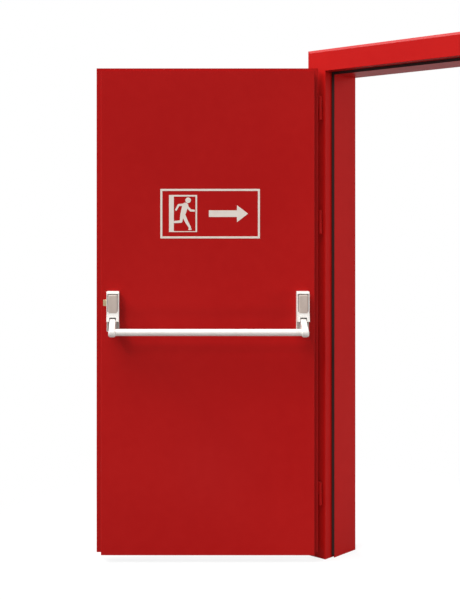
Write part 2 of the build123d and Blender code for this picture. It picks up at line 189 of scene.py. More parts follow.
# %% A material's tree
class Finish:
    """A tree of shader nodes, for a material or for the world."""

    def __init__(self, name, owner=None):
        self.owner = owner or bpy.data.materials.new(name)
        self.owner.use_nodes = True
        self.tree = self.owner.node_tree
        self.tree.nodes.clear()

    def node(self, kind, settings=(), inputs=(), output=0):
        """Adds any node: its settings are set first, then each socket gets its value or its link."""
        made = self.tree.nodes.new("ShaderNode" + kind)
        for name, value in dict(settings).items():
            setattr(made, name, value)
        for name, value in dict(inputs).items():
            if isinstance(value, Wire):
                self.tree.links.new(value.socket, made.inputs[name])
            else:
                made.inputs[name].default_value = value
        return Wire(self, made.outputs[output] if made.outputs else None)

    def mix(self, first, second, share):
        """Two colours mixed: the second by its share."""
        sockets = {0: share, 6: (*first, 1), 7: (*second, 1)}
        return self.node("Mix", {"data_type": "RGBA"}, sockets, output=2)

    def place(self):
        """The point that is shaded, in the object's own coordinates."""
        return self.node("TexCoord", output="Object")

    def ray(self, kind):
        """One for rays of this kind, such as Camera or Glossy, and nought for the others."""
        return self.node("LightPath", output=f"Is {kind} Ray")

    def noise(self, scale, stretch=(1, 1, 1), detail=2.0):
        """Cloudy noise over the object, scale patches to a metre, stretched where a factor is under one."""
        scaled = self.node("Mapping", inputs={"Vector": self.place(), "Scale": stretch})
        return self.node("TexNoise", inputs={"Vector": scaled, "Scale": scale, "Detail": detail})

    def bump(self, height, distance, under=None):
        """A normal that tilts as if the surface rose by the height times the distance, in metres."""
        inputs = {"Height": height, "Distance": distance, "Strength": 1.0}
        if under:
            inputs["Normal"] = under
        return self.node("Bump", inputs=inputs)

    def surface(self, **sockets):
        """The main shader with the given sockets, wired to the output."""
        named = {name.replace("_", " "): value for name, value in sockets.items()}
        shader = self.node("BsdfPrincipled", inputs=named)
        self.node("OutputMaterial", inputs={"Surface": shader})
        return self.owner


print("a Finish has node, mix, place, ray, noise, bump and surface")

# %% [markdown]
# ## The room
#
# The photograph shows the door on plain white. An evenly white world would be the short way, but it lights
# every side alike and leaves no shade. So the world is dim for the light it gives and white for the camera,
# and a Light Path node tells the two apart. Glossy rays see some of the white too, or brass and steel would
# mirror a dim room that is nowhere in the picture. They don't see all of it, because the paint would then
# look dusty wherever it is seen at a low angle.

# %% World
AMBIENT = 0.31
WHITE_SEEN_IN_GLOSS = 0.10
PAPER = (1.0, 1.0, 1.0, 1.0)

world = bpy.data.worlds.new("studio")
bpy.context.scene.world = world
air = Finish("studio", world)
seen = air.ray("Camera") + air.ray("Transmission") + WHITE_SEEN_IN_GLOSS * air.ray("Glossy")
dim = air.node("Background", inputs={"Color": PAPER, "Strength": AMBIENT})
white = air.node("Background", inputs={"Color": PAPER, "Strength": 1.0})
sky = air.node("MixShader", inputs={0: seen, 1: dim, 2: white})
air.node("OutputWorld", inputs={"Surface": sky})
print("the world lights with", AMBIENT, "and looks white")

# %% [markdown]
# The floor is a dull grey for the light that bounces off it and white to the camera, so the soffit stays
# dark and the page stays white. Near the door it keeps a faint shadow, and further off it fades into the
# page. No floor at all would be simpler, but then the door would seem to float.

# %% Floor
FLOOR_SIZE = 18.0
FLOOR_GREY = (0.18, 0.18, 0.18, 1.0)
FLOOR_GLOW = 0.80
FLOOR_FADE = (0.8, 1.7)                     # metres from the door over which the shadow fades out

bpy.ops.mesh.primitive_plane_add(size=FLOOR_SIZE)
floor = bpy.context.object
floor.name = "floor"
paper = Finish("floor_paper")
grey = paper.node("BsdfDiffuse", inputs={"Color": FLOOR_GREY})
page = paper.node("Emission", inputs={"Color": PAPER, "Strength": 1.0})
glow = paper.node("Emission", inputs={"Strength": FLOOR_GLOW})
shaded = paper.node("AddShader", inputs={0: grey, 1: glow})
reach = paper.node("VectorMath", {"operation": "LENGTH"}, {0: paper.place()}, output=1)
near_door = 1 - reach.rise(*FLOOR_FADE)
fading = paper.node("MixShader", inputs={0: near_door, 1: page, 2: shaded})
looked_at = paper.ray("Camera") + WHITE_SEEN_IN_GLOSS * paper.ray("Glossy")
shown = paper.node("MixShader", inputs={0: looked_at, 1: grey, 2: fading})
paper.node("OutputMaterial", inputs={"Surface": shown})
floor.data.materials.append(paper.owner)
print("floor", FLOOR_SIZE, "m wide")

# %% [markdown]
# ## The lamps
#
# A lamp could be placed by X, Y and Z, but what matters about it is the direction that its light comes from
# and how wide it looks from the door. So a lamp is given by a direction of the leaf, a distance and a size.


# %% One lamp
DOOR_MIDDLE = np.array((0.1, -0.3, 1.1))


def lamp(name, direction, distance, size, power, mirrored):
    """A square lamp that stands off the door's middle by the distance, in its direction, and faces back.

    A lamp shines down its own -Z, so its Z is the direction. Its X lies level, at right angles to that, and
    its Y is at right angles to both.
    """
    away = np.array(direction) @ LEAF_AXES
    away /= np.linalg.norm(away)
    across = np.cross(UP, away)
    across /= np.linalg.norm(across)
    pose = np.eye(4)
    pose[:3, :3] = np.stack((across, np.cross(away, across), away), axis=1)
    pose[:3, 3] = DOOR_MIDDLE + away * distance
    light = bpy.data.lights.new(name, "AREA")
    light.shape, light.size, light.energy = "SQUARE", size, power
    standing = bpy.data.objects.new(name, light)
    standing.matrix_world = pose.T
    standing.visible_glossy = mirrored
    standing.visible_camera = False
    bpy.context.scene.collection.objects.link(standing)
    print(name, "at", pose[:3, 3].round(2))


print("lamps stand round", DOOR_MIDDLE)

# %% [markdown]
# Six lamps stand round the door, each for one thing that the photograph shows. The high lamp does most of
# the work: it lights the top of the push bar and leaves the dark strip beside the leaf, where the leaf
# shades its jamb. The key lamp is small, so it draws the soft line of shade under the bar. The floor lamp
# lifts the foot of the leaf as a bright studio floor would. The left lamp brightens the face of the frame
# and stands where the frame's bevel mirrors it, so that the head has a bright line along its top. The far
# lamp lights the reveal, and the back lamp the side that the photograph doesn't show. All but the high
# lamp and the left lamp have no reflection, because the paint would show a near one as a pale blot.

# %% Lamps
LAMPS = {
    # direction along the leaf, out and up; distance and size in metres; power in watts; mirrored or not
    "high_lamp": ((0.40, 0.26, 0.88), 25.0, 20.0, 9400.0, True),
    "key_lamp": ((0.55, 0.68, 0.55), 12.0, 1.3, 260.0, False),
    "floor_lamp": ((0.22, 0.75, -0.66), 1.5, 0.3, 2.6, False),
    "left_lamp": ((0.73, 0.09, 0.68), 12.0, 1.6, 410.0, True),
    "far_lamp": ((-0.92, 0.20, 0.10), 8.0, 4.0, 330.0, False),
    "back_lamp": ((0.25, -0.90, 0.35), 10.0, 5.0, 700.0, False),
}
for name, facts in LAMPS.items():
    lamp(name, *facts)
print(len(LAMPS), "lamps")

# %% [markdown]
# ## Red paint
#
# Fire doors are powder coated. Baked powder flows out into a satin skin that is never quite flat: it has
# the dimples of orange peel, a millimetre or two apart, and its tone drifts a little over a large sheet.
# The sheet under it is not quite flat either. One plain red would do from afar and look like plastic from
# near by, so colour, roughness and bump each take one of these. Noise lies mostly between 0.3 and 0.7, and
# that range is spread over the two tones. The leaf and the frame were coated apart and have a coat each.

# %% Red powder coat
DRIFT, CLOUDS, WIPES = 1.7, 23.0, 14.0      # patches to a metre: wide tones, small tones, wiped streaks
UPRIGHT = (1, 1, 0.12)                      # the streaks run up and down
PEEL, PEEL_DEEP = 620.0, 0.00003
SHEET_WAVES = 2.6


def red_coat(name, deep, bright, wave_height):
    """Powder coat: dimples from fine noise on slow waves of the sheet, and a tone that drifts.

    The tone is seven parts of wide noise and three parts of small clouds, and streaks add up to a tenth to
    the roughness.
    """
    coat = Finish(name)
    drift = coat.noise(DRIFT, detail=3.0) * 0.7 + coat.noise(CLOUDS) * 0.3
    wiped = coat.noise(WIPES, UPRIGHT, detail=4.0)
    waves = coat.bump(coat.noise(SHEET_WAVES, detail=0.0), wave_height)
    return coat.surface(
        Base_Color=coat.mix(deep, bright, drift.rise(0.3, 0.7)),
        Roughness=0.30 + 0.10 * wiped,
        Specular_IOR_Level=0.16,
        Normal=coat.bump(coat.noise(PEEL, detail=1.0), PEEL_DEEP, waves),
    )


frame_red = red_coat("frame_red", (0.43, 0.0055, 0.0050), (0.46, 0.0078, 0.0066), 0.0002)
leaf_red = red_coat("leaf_red", (0.385, 0.0048, 0.0046), (0.415, 0.0070, 0.0062), 0.0009)
print("red coats:", frame_red.name, "and", leaf_red.name)

# %% [markdown]
# ## Pale coats
#
# The push bar's castings and tube have a fine, nearly white powder coat, and the panels let into the
# housings are greyer. The film of the sign is matt and finely grained as well. A darker grey in the grooves
# round the panels is painted shade. They could each have a tree of their own, but they differ only in
# colour and gloss, so one recipe makes them all.

# %% Pale powder coats
MOTTLES, HANDLING = 30.0, 90.0              # patches to a metre, in the tone and in the gloss
FINE_PEEL, FINE_PEEL_DEEP = 1100.0, 0.00002


def pale_coat(name, colour, shade, rough):
    """A fine pale coat: small dimples, and a slightly greyer tone in patches a few centimetres wide."""
    coat = Finish(name)
    return coat.surface(
        Base_Color=coat.mix(colour, shade, coat.noise(MOTTLES, detail=3.0).rise(0.4, 0.8)),
        Roughness=rough + 0.08 * coat.noise(HANDLING),
        Specular_IOR_Level=0.4,
        Normal=coat.bump(coat.noise(FINE_PEEL), FINE_PEEL_DEEP),
    )


bar_white = pale_coat("bar_white", (0.82, 0.785, 0.745), (0.76, 0.715, 0.67), 0.32)
housing_white = pale_coat("housing_white", (0.72, 0.70, 0.66), (0.64, 0.61, 0.57), 0.36)
panel_grey = pale_coat("panel_grey", (0.50, 0.42, 0.37), (0.45, 0.37, 0.32), 0.42)
film_white = pale_coat("film_white", (0.74, 0.68, 0.61), (0.70, 0.63, 0.56), 0.45)
# painted shade: a dark grey for the floor of the grooves round the panels, where shade falls
painted_groove_shade = pale_coat("painted_groove_shade", (0.30, 0.26, 0.24), (0.24, 0.21, 0.19), 0.5)
print("pale coats on the bar, the housings, their panels and grooves, and the sign")

# %% [markdown]
# ## Bare metal
#
# The bolt is brass, brushed along its length by the housing that it slides in. Steel that stays bare is
# galvanised or zinc plated. Zinc sets on a sheet in flat crystals that each catch the light in their own
# way. Noise would blur them into each other, so a Voronoi texture makes them: its Color output is one tone
# for each cell.

# %% Brass and zinc
LEVEL = (0.2, 0.2, 1)                       # the grain is drawn out level
METAL_DEEP = 0.00001
SPANGLES = 90.0                             # crystals to a metre


def metal(name, colour, shade, rough, scale):
    """Brushed metal: grain drawn out level, which shifts the tone, the roughness and the bump."""
    bare = Finish(name)
    grain = bare.noise(scale, LEVEL, detail=4.0)
    return bare.surface(
        Base_Color=bare.mix(shade, colour, grain.rise(0.3, 0.65)),
        Metallic=1.0,
        Roughness=rough + 0.15 * grain,
        Normal=bare.bump(grain, METAL_DEEP),
    )


def spangled(name, colour, shade):
    """Galvanised sheet: flat crystals a centimetre wide, each with its own tone and gloss."""
    zinc = Finish(name)
    crystal = zinc.node("TexVoronoi", inputs={"Vector": zinc.place(), "Scale": SPANGLES}, output="Color")
    tone = zinc.node("SeparateColor", inputs={0: crystal})
    return zinc.surface(
        Base_Color=zinc.mix(shade, colour, tone),
        Metallic=1.0,
        Roughness=0.34 + 0.2 * tone,
        Normal=zinc.bump(tone, METAL_DEEP),
    )


brass = metal("bolt_brass", (0.86, 0.72, 0.45), (0.76, 0.60, 0.33), 0.38, 300.0)
plated_steel = spangled("plated_steel", (0.66, 0.66, 0.65), (0.56, 0.57, 0.58))
galvanised = spangled("galvanised", (0.60, 0.61, 0.62), (0.46, 0.47, 0.49))
print("brass, plated steel and galvanised sheet")

# %% [markdown]
# ## Rubber and board
#
# The seal is extruded, which leaves fine streaks along it. They are drawn out upwards here, which is its
# length on both jambs. The core between the leaf's skins is a pressed mineral board. It is seen only from
# below, up the hollow of the leaf's lip. Its fibres lie flat, so its noise is drawn out level.

# %% Seal and core
SEAL_STREAKS, ALONG_THE_SEAL, STREAK_DEEP = 240.0, (1, 1, 0.03), 0.00005
FIBRES, LAID_FLAT, FIBRE_DEEP = 160.0, (0.3, 0.3, 1), 0.0004


def rubber(name):
    """Extruded rubber: dull black with drawn-out streaks and a little grey bloom."""
    strip = Finish(name)
    streak = strip.noise(SEAL_STREAKS, ALONG_THE_SEAL, detail=3.0)
    return strip.surface(
        Base_Color=strip.mix((0.020, 0.010, 0.009), (0.042, 0.020, 0.018), streak),
        Roughness=0.55 + 0.25 * streak,
        Specular_IOR_Level=0.35,
        Normal=strip.bump(streak, STREAK_DEEP),
    )


def board(name):
    """Pressed mineral board: pale, fibrous and matt."""
    core = Finish(name)
    fibre = core.noise(FIBRES, LAID_FLAT, detail=5.0)
    return core.surface(
        Base_Color=core.mix((0.50, 0.45, 0.36), (0.70, 0.65, 0.54), fibre),
        Roughness=0.9,
        Normal=core.bump(fibre, FIBRE_DEEP),
    )


black_rubber = rubber("black_rubber")
core_board = board("core_board")
print("rubber for the seals and board for the core")

# %% [markdown]
# ## Finishes on the CAD nodes
#
# Each CAD node names the slot of its material, and every slot gets its finish from one table, so that
# pieces of one material can't come to differ. The pins of the door's hinges were painted over with the
# leaf, so they don't take the finish of the pins in the push bar.

# %% One finish for each slot
HINGES = ("upper_hinge", "middle_hinge", "lower_hinge")
FINISHES = {
    "frame_paint": frame_red,
    "leaf_paint": leaf_red,
    "hinge_paint": leaf_red,
    "pin_steel": plated_steel,
    "seal_rubber": black_rubber,
    "strike_steel": plated_steel,
    "core_board": core_board,
    "rail_steel": galvanised,
    "housing_paint": housing_white,
    "bar_paint": bar_white,
    "bolt_brass": brass,
}
for node in nodes.values():
    for place, old in enumerate(node.data.materials):
        node.data.materials[place] = FINISHES[old.name]
for hinge in HINGES:
    nodes[f"{hinge}_pin"].data.materials[0] = leaf_red
print(len(FINISHES), "slots have a finish")

# %% [markdown]
# ## From numbers to a mesh
#
# Blender's own cubes and cylinders could be stretched and joined, but few of the pieces here are that
# plain. Every new piece is a closed surface on a grid: rings of points, each joined to the next. Rings that
# end get a flat face at each end, and rings that come round to the first close into a loop. One function
# makes the faces for all of them.


# %% Rings to faces
def skin(rings, loop=False):
    """Quads between neighbours: point j to j+1 around each ring, ring i to i+1, and both ends closed."""
    count, around = rings.shape[:2]
    at = np.arange(count * around).reshape(count, around)
    here = at if loop else at[:-1]
    after = np.roll(at, -1, axis=0) if loop else at[1:]
    quads = np.stack((here, np.roll(here, -1, 1), np.roll(after, -1, 1), after), axis=-1)
    ends = [] if loop else [at[0, ::-1].tolist(), at[-1].tolist()]
    return rings.reshape(-1, 3), quads.reshape(-1, 4).tolist() + ends


def joined(parts):
    """Several meshes as one: each part's faces count on from the points before it."""
    points, faces, start = [], [], 0
    for some_points, some_faces in parts:
        points.append(some_points)
        faces += [[start + corner for corner in face] for face in some_faces]
        start += len(some_points)
    return np.concatenate(points), faces


print("three rings of eight points make", len(skin(np.zeros((3, 8, 3)))[1]), "faces")

# %% [markdown]
# A new piece has to move with the part of the door that it sits on. A grid may be wound either way round,
# so the faces are turned outwards. All of it is shaded smooth, except where two faces meet at an edge
# that the eye should see.

# %% A piece on its body
SHARP = 38                                  # degrees between two faces from which their edge is seen


def piece(name, made, body, finish, stands_for=()):
    """Puts points and faces into an object at the origin, faces outwards, and rides it on a body."""
    points, faces = made
    mesh = bpy.data.meshes.new(name)
    mesh.from_pydata(points, [], faces)
    loose = bmesh.new()
    loose.from_mesh(mesh)
    bmesh.ops.recalc_face_normals(loose, faces=loose.faces)
    loose.to_mesh(mesh)
    loose.free()
    mesh.shade_smooth()
    mesh.set_sharp_from_angle(angle=radians(SHARP))
    mesh.materials.append(finish)
    made_object = bpy.data.objects.new(name, mesh)
    bpy.context.scene.collection.objects.link(made_object)
    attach(made_object, body)
    if stands_for:
        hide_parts(*stands_for)
    print(name, len(mesh.polygons), "faces on", body)
    return made_object


print("edges of", SHARP, "degrees and more stay sharp")

# %% [markdown]
# ## Flat shapes on the leaf
#
# The sign and the panels are flat shapes with a little thickness. An outline is worked out in the plane of
# the leaf's face and then stood on it. It can be moved inwards, as a cutter would follow it, so a stack of
# outlines that shrink as they rise gives a plate with a sloped or rounded edge. A Bevel modifier would
# round the edge evenly, and here each step of it has its own width and height.


# %% Outlines
def outline(corner_points, radius, inset=0.0, steps=8):
    """A polygon with round corners, moved inwards by inset.

    Each corner moves along its bisector until both sides have moved in by inset plus radius. That is the
    middle of an arc, which turns from one side's outward direction to the next side's.
    """
    corner = np.asarray(corner_points, float)
    side = np.roll(corner, -1, axis=0) - corner
    side /= np.linalg.norm(side, axis=1, keepdims=True)
    outward = np.stack((side[:, 1], -side[:, 0]), axis=1)
    before = np.roll(outward, 1, axis=0)
    bisector = outward + before
    bisector /= (bisector * outward).sum(1, keepdims=True)
    middle = corner - bisector * radius
    shrunk = max(radius - inset, 0.0)
    share = np.linspace(0, 1, steps)[None, :, None]
    turn = (1 - share) * before[:, None] + share * outward[:, None]
    turn /= np.linalg.norm(turn, axis=2, keepdims=True)
    extra = max(inset - radius, 0.0)
    return (middle[:, None] - bisector[:, None] * extra + turn * shrunk).reshape(-1, 2)


def oblong(width, height):
    """A rectangle's corners, half its width and half its height from its middle, anticlockwise."""
    return np.array(((-1, -1), (1, -1), (1, 1), (-1, 1))) * (width / 2, height / 2)


print("an oblong with round corners has", len(outline(oblong(2, 1), 0.1)), "points")


# %% Outlines stood on the push side
def on_face(middle, flat, proud):
    """Flat points put on the leaf's push side: x along the leaf, y up, and proud of its face."""
    flat = np.asarray(flat, float)
    level = np.broadcast_to(PUSH_FACE + proud, flat.shape[:-1])
    return from_leaf(np.stack((middle[0] + flat[..., 0], level, middle[1] + flat[..., 1]), axis=-1))


def stepped(middle, corner_points, radius, steps):
    """A plate on the push side: for each (inset, proud) pair the outline moves in and stands that proud."""
    rings = [on_face(middle, outline(corner_points, radius, inset), proud) for inset, proud in steps]
    return skin(np.stack(rings))


print("the push side is", round(PUSH_FACE, 4), "m out from the pins")

# %% [markdown]
# ## The sign
#
# The sign is cut from pale film and stuck on the leaf: a border, a doorway with its door leaf, a figure
# that strides through it, and an arrow. A sign could be painted on by a mask in the leaf's material, but
# film is a third of a millimetre thick and its edge just shows, so each part is cut as a mesh.

# %% Border of the sign
FILM_THICK = 0.00035
FILM_LAYER = 0.00002                        # what each further layer of film adds
FILM_CORNER = 0.001
SIGN = (0.4722, 1.4807)                     # middle of the sign, along the leaf and up
SIGN_SIZE = (0.4216, 0.2096)
SIGN_LINE = 0.0085                          # width of the border's line


def ring_of_film(outer, inner):
    """A frame of film: its cut section is carried round the outer corners and back round the inner ones."""
    section = ((outer, 0), (outer, FILM_THICK), (inner, FILM_THICK), (inner, 0))
    rings = [on_face(SIGN, outline(edge, FILM_CORNER), proud) for edge, proud in section]
    return skin(np.stack(rings), loop=True)


outer = oblong(*SIGN_SIZE)
inner = oblong(SIGN_SIZE[0] - 2 * SIGN_LINE, SIGN_SIZE[1] - 2 * SIGN_LINE)
piece("sign_border", ring_of_film(outer, inner), "leaf", film_white)

# %% [markdown]
# The doorway is a second frame of film. Its wide side stands for the open door leaf, and its other lines
# are thin. It could be four strips, but they would show seams at the corners.

# %% Doorway of the sign
DOORWAY = np.array((0.1147, 0.0007))        # its middle, from the sign's middle
DOORWAY_SIZE = np.array((0.119, 0.157))
DOOR_LEAF, POST, SILL = 0.0205, 0.0068, 0.0036


def corners_between(low, high):
    """The four corners between a low and a high one, anticlockwise."""
    return np.array((low, (high[0], low[1]), high, (low[0], high[1])))


doorway_low, doorway_high = DOORWAY - DOORWAY_SIZE / 2, DOORWAY + DOORWAY_SIZE / 2
opening = corners_between(doorway_low + (POST, SILL), doorway_high - (DOOR_LEAF, POST))
doorway = ring_of_film(corners_between(doorway_low, doorway_high), opening)
piece("sign_doorway", doorway, "leaf", film_white)

# %% [markdown]
# The figure is a plain one, as on any sign of this kind. It could be one long outline drawn by hand, but
# limbs are easier to pose: each is a run with round ends that may taper, and the head is a disc. They
# overlap at the joints, so each is a hair thicker than the one under it. Two tops at the same height would
# flicker.

# %% Limbs
LIMBS = (
    # from, to and the widths there, in metres from the figure's middle: x runs along the leaf
    ((-0.002, 0.033), (0.009, -0.006), 0.026, 0.021),      # body
    ((-0.006, 0.034), (-0.024, 0.013), 0.0095, 0.0090),    # leading arm
    ((-0.024, 0.013), (-0.039, 0.012), 0.0090, 0.0085),
    ((0.004, 0.037), (0.026, 0.036), 0.0100, 0.0090),      # trailing arm
    ((0.026, 0.036), (0.037, 0.016), 0.0090, 0.0080),
    ((0.006, -0.006), (-0.008, -0.036), 0.0160, 0.0130),   # leading leg
    ((-0.008, -0.036), (-0.021, -0.058), 0.0130, 0.0100),
    ((-0.019, -0.0665), (-0.026, -0.0665), 0.0085, 0.0065),
    ((0.012, -0.006), (0.016, -0.034), 0.0150, 0.0110),    # trailing leg
    ((0.016, -0.034), (0.042, -0.036), 0.0110, 0.0095),
)


def limb(start, end, width, width_end, steps=13):
    """Outline of a run with round ends: a half circle about each end, across the line between them."""
    forward = end - start
    turn = np.arctan2(forward[1], forward[0]) + np.linspace(pi / 2, 3 * pi / 2, steps)
    half_circle = np.stack((np.cos(turn), np.sin(turn)), axis=1)
    return np.concatenate((start + width / 2 * half_circle, end - width_end / 2 * half_circle))


print(len(LIMBS), "limbs")

# %% Figure of the sign
FIGURE = DOORWAY - (0.0075, 0.0)
HEAD, HEAD_RADIUS = FIGURE + (-0.0140, 0.0560), 0.0118


def disc(middle, radius, steps=40):
    """Outline of a disc: its middle plus the radius in each direction."""
    turn = np.linspace(0, 2 * pi, steps, endpoint=False)
    return middle + radius * np.stack((np.cos(turn), np.sin(turn)), axis=1)


def cut_film(loop, layer=0):
    """A closed outline cut from film. A piece stuck over another has its own layer, a hair above it."""
    top = FILM_THICK + layer * FILM_LAYER
    return skin(np.stack([on_face(SIGN, loop, proud) for proud in (0, top)]))


shapes = [limb(FIGURE + start, FIGURE + end, *widths) for start, end, *widths in LIMBS]
shapes.append(disc(HEAD, HEAD_RADIUS))
figure = joined([cut_film(shape, layer) for layer, shape in enumerate(shapes)])
piece("sign_figure", figure, "leaf", film_white)

# %% [markdown]
# The arrow fills the room beside the doorway. A triangle and a bar would do, but they would overlap, so it
# is one outline of seven corners, as a cutter would follow it.

# %% Arrow of the sign
ARROW_MIDDLE = (-0.0776, 0.0)
ARROW_HALF, ARROW_NECK = 0.083, -0.036      # half its length, and where its head begins
ARROW_HEAD_HALF, SHAFT_HALF = 0.036, 0.014
ARROW_CORNER = 0.0008

arrow = np.array((
    (ARROW_NECK, -ARROW_HEAD_HALF),
    (ARROW_NECK, -SHAFT_HALF),
    (ARROW_HALF, -SHAFT_HALF),
    (ARROW_HALF, SHAFT_HALF),
    (ARROW_NECK, SHAFT_HALF),
    (ARROW_NECK, ARROW_HEAD_HALF),
    (-ARROW_HALF, 0),
))
arrow_loop = outline(arrow + ARROW_MIDDLE, ARROW_CORNER, steps=4)
piece("sign_arrow", cut_film(arrow_loop), "leaf", film_white)

# %% [markdown]
# ## The push bar
#
# The bar is a length of drawn steel tube. A cylinder and a Solidify modifier could make it, but the ends
# would be razor sharp. A turned shape is a profile carried round a line: here the profile is the cut wall
# of the tube with its outer edges taken off, and the line is the tube's own.

# %% Tube of the push bar
TUBE_WALL, TUBE_EDGE = 0.002, 0.0004


def turned(profile, start, forward, across, steps=64):
    """A profile of (distance forward, radius) pairs, carried once round the line through start.

    Each pair goes forward by its distance, then out by its radius. The way out is the cosine of the angle
    times across plus the sine times the third direction.
    """
    third = np.cross(forward, across)
    angle = np.linspace(0, 2 * pi, steps, endpoint=False)[:, None, None]
    ahead, radius = np.asarray(profile, float).T[:, None, :, None]
    spun = start + ahead * forward + radius * (np.cos(angle) * across + np.sin(angle) * third)
    return skin(spun, loop=True)


bar_low, bar_high = leaf_box("push_bar")
BAR_MIDDLE = (bar_low + bar_high) / 2
BAR_RADIUS = (bar_high[2] - bar_low[2]) / 2
BAR_LENGTH = bar_high[0] - bar_low[0]
tube = (
    (0, BAR_RADIUS - TUBE_EDGE),
    (TUBE_EDGE, BAR_RADIUS),
    (BAR_LENGTH - TUBE_EDGE, BAR_RADIUS),
    (BAR_LENGTH, BAR_RADIUS - TUBE_EDGE),
    (BAR_LENGTH, BAR_RADIUS - TUBE_WALL),
    (0, BAR_RADIUS - TUBE_WALL),
)
bar_start = from_leaf((bar_low[0], BAR_MIDDLE[1], BAR_MIDDLE[2]))
piece("push_bar_tube", turned(tube, bar_start, ALONG, UP), "push_bar", bar_white, ["push_bar"])

# %% [markdown]
# ## The arms
#
# Each arm is a casting that widens from its pivot to the boss that holds the tube. Seen from its end it is
# the band that would hold two round pulleys, a small one and a large one. A block with a Bevel modifier
# would keep one width all the way down, so the arm is made of slices of that band instead. They are drawn
# in towards both cheeks of the arm, which gives it the soft edge of a casting.

# %% Side of an arm
SIDES = ("hinge_side", "latch_side")


def band(small, large, steps=96):
    """Outline of two circles and the straight lines that touch both, each circle as (middle, radius).

    A straight side leans from the line of the middles by the angle whose sine is the difference of the
    radii over the distance. The arc on each circle ends where its radius meets a side at a right angle.
    """
    (first, first_radius), (second, second_radius) = small, large
    line = second - first
    away = np.arctan2(line[1], line[0])
    lean = np.arcsin((second_radius - first_radius) / np.linalg.norm(line))
    far = np.linspace(-pi / 2 - lean, pi / 2 + lean, steps // 2) + away
    near = np.linspace(pi / 2 + lean, 3 * pi / 2 - lean, steps // 2) + away
    arc_far = second + second_radius * np.stack((np.cos(far), np.sin(far)), axis=1)
    arc_near = first + first_radius * np.stack((np.cos(near), np.sin(near)), axis=1)
    return np.concatenate((arc_far, arc_near))


for side in SIDES:
    arm_low, arm_high = leaf_box(f"{side}_arm")
    print(side, "arm is", np.round((arm_high - arm_low) * 1000, 1), "mm along, out and up")

# %% Castings of the arms
ARM_EDGE = 0.0035
BOSS_ROUND = 0.009
NECK_HALF, NECK_LENGTH = 0.012, 0.034


def arm_casting(side, edge_steps=7):
    """Slices of the band from cheek to cheek, drawn in by a quarter circle at the edges.

    Below the neck the width grows by a smooth step until it is full at the bar. At the foot a quarter
    circle takes it in again.
    """
    low, high = leaf_box(f"{side}_arm")
    middle, half = (low[0] + high[0]) / 2, (high[0] - low[0]) / 2
    pivot_low, pivot_high = leaf_box(f"{side}_pivot_pin")
    pivot = (pivot_low[1:] + pivot_high[1:]) / 2
    hub_radius, boss_radius = high[2] - pivot[1], high[1] - BAR_MIDDLE[1]

    quarter = np.linspace(0, pi / 2, edge_steps)
    inset = ARM_EDGE * (1 - np.sin(quarter))
    station = half - ARM_EDGE * (1 - np.cos(quarter))
    insets = np.concatenate((inset, inset[::-1]))
    stations = np.concatenate((-station, station[::-1]))
    flat = np.stack([band((pivot, hub_radius - i), (BAR_MIDDLE[1:], boss_radius - i)) for i in insets])

    level = flat[..., 1]
    shoulder, foot = pivot[1] - NECK_LENGTH, low[2]
    widen = np.clip((shoulder - level) / (shoulder - BAR_MIDDLE[2]), 0, 1)
    wide = NECK_HALF + (half - NECK_HALF) * widen * widen * (3 - 2 * widen)
    drop = np.clip((foot + BOSS_ROUND - level) / BOSS_ROUND, 0, 1)
    wide = wide - BOSS_ROUND * (1 - np.sqrt(1 - drop * drop))
    across = middle + stations[:, None] * wide / half
    return skin(from_leaf(np.stack((across, flat[..., 0], level), axis=-1)))


for side in SIDES:
    piece(f"{side}_arm_casting", arm_casting(side), "push_bar", bar_white, [f"{side}_arm"])

# %% [markdown]
# ## Housings, covers and bolt
#
# The pressed housings, their covers and the brass bolt have the right shape in CAD, with edges as sharp as
# a drawing's. Making them again would only invite mistakes, so a copy of each mesh is merged into one skin,
# and a Bevel modifier takes the edges off. Then they catch the light as real ones do.

# %% Copies with their edges taken off
MERGE = 0.00001                             # corners this near are one
EASED_FROM = 35                             # degrees: edges that turn by less stay as they are
EASED_STEPS = 3


def merged(node):
    """Points and faces of a CAD node's mesh, with the corners of its loose triangles merged."""
    mesh = nodes[node].data.copy()
    loose = bmesh.new()
    loose.from_mesh(mesh)
    bmesh.ops.remove_doubles(loose, verts=loose.verts, dist=MERGE)
    loose.to_mesh(mesh)
    loose.free()
    made = mesh_points(mesh), [list(face.vertices) for face in mesh.polygons]
    bpy.data.meshes.remove(mesh)
    return made


def eased(node, name, width, finish, body="leaf"):
    """A CAD node's mesh with a small round along each edge."""
    soft = piece(name, merged(node), body, finish, [node])
    bevel = soft.modifiers.new("edge", "BEVEL")
    bevel.width, bevel.segments = width, EASED_STEPS
    bevel.limit_method, bevel.angle_limit = "ANGLE", radians(EASED_FROM)
    bevel.use_clamp_overlap = True


for side in SIDES:
    eased(f"{side}_housing", f"{side}_housing_tray", 0.0008, housing_white)
    eased(f"{side}_cover", f"{side}_cover_casting", 0.0009, housing_white)
eased("latch_bolt", "latch_bolt_nose", 0.0010, brass, "latch")
eased("latch_strike", "latch_strike_angle", 0.0008, plated_steel, "frame")

# %% [markdown]
# A greyer panel is let into each cover. It stands in a groove, and its sloped edge catches a line of light
# above and beside the line of shade. Its foot runs into the slope of the cover. That shade is partly real
# and partly painted: a dark grey seat lies on the floor of the groove and deepens it. A change of colour on
# the cover would give neither line, so the panel is a plate of its own, stacked from outlines.

# %% Panels in the covers
COVER_FRONT, RECESS = 0.038, 0.0020         # the cover's flat front off the push side, the recess in it
TOP_BEVEL, SLOPE = 0.008, 0.037             # what the cover's bevel and slope take of its height
MARGIN, TOP_MARGIN = 0.004, 0.0015          # cover left round the recess
RECESS_CORNER, SEAT_THICK = 0.0004, 0.0003
GAP_ABOVE, GAP_BESIDE, BELOW = 0.0042, 0.0026, 0.0085
PANEL_CORNER = 0.0060
PANEL_EDGE = ((0, 0), (0, 0.0004), (0.0034, 0.0032), (0.0044, 0.0036), (0.0054, 0.0037))  # inset, rise


